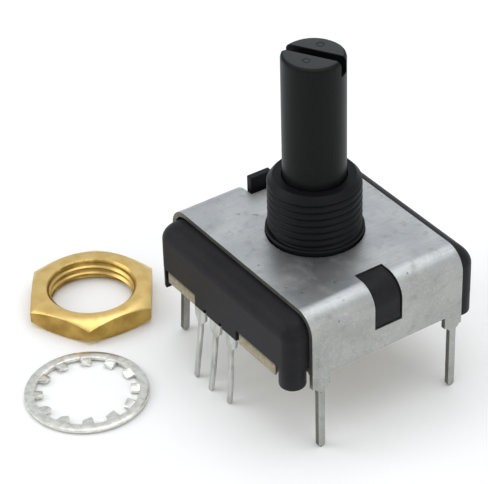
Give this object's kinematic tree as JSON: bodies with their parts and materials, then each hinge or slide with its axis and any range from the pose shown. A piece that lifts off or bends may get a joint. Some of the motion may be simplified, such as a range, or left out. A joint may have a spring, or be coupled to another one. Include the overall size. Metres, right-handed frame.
{
  "type": "rotary encoder",
  "caption": "Panel rotary encoder with a slotted shaft, threaded bushing, sheet-metal bracket with solder legs, side terminals, and its loose nut and lock washer.",
  "frame": {"origin": "on the shaft's axis in the plane of the corner feet, where the encoder sits on its circuit board", "axes": "+Z along the shaft towards the knob, terminals on the -Y side, bracket walls at -X and +X"},
  "size_m": [0.0377, 0.038, 0.0341],
  "materials": {
    "bracket_steel": "satin tin plate with fine rolling marks",
    "housing_plastic": "glass-filled moulding, charcoal",
    "shaft_plastic": "satin moulding, near black",
    "wheel_plastic": "natural acetal",
    "seal_rubber": "matt rubber",
    "spring_steel": "bright spring strip",
    "contact_alloy": "silvered copper alloy",
    "board_laminate": "tan paper laminate",
    "printed_silver": "printed conductor",
    "terminal_tin": "dull tin plate",
    "rivet_metal": "bright tin plate",
    "nut_brass": "bright turned brass",
    "washer_steel": "bright plated spring steel"
  },
  "bodies": {
    "base": {"bracket": "bracket_steel", "housing": "housing_plastic", "thrust_washer": "wheel_plastic", "detent_spring": "spring_steel", "terminal_board": "board_laminate", "common_track": "printed_silver", "track_a": "printed_silver", "track_b": "printed_silver", "terminal_a": "terminal_tin", "terminal_b": "terminal_tin", "terminal_common": "terminal_tin", "rivet_a": "rivet_metal", "rivet_b": "rivet_metal", "rivet_common": "rivet_metal"},
    "rotor": {"shaft": "shaft_plastic", "shaft_seal": "seal_rubber", "detent_wheel": "wheel_plastic", "contact_wiper": "contact_alloy", "retaining_clip": "spring_steel"},
    "nut": {"mounting_nut": "nut_brass"},
    "washer": {"lock_washer": "washer_steel"}
  },
  "joints": [
    {"name": "shaft_turn", "type": "hinge", "parent": "base", "child": "rotor", "pos_m": [0, 0, 0.018], "axis": [0, 0, 1], "continuous": true},
    {"name": "nut_lift", "type": "slide", "parent": "base", "child": "nut", "axis": [0, 0, 1], "range_m": [0, 0.03]},
    {"name": "washer_lift", "type": "slide", "parent": "base", "child": "washer", "axis": [0, 0, 1], "range_m": [0, 0.03]}
  ]
}
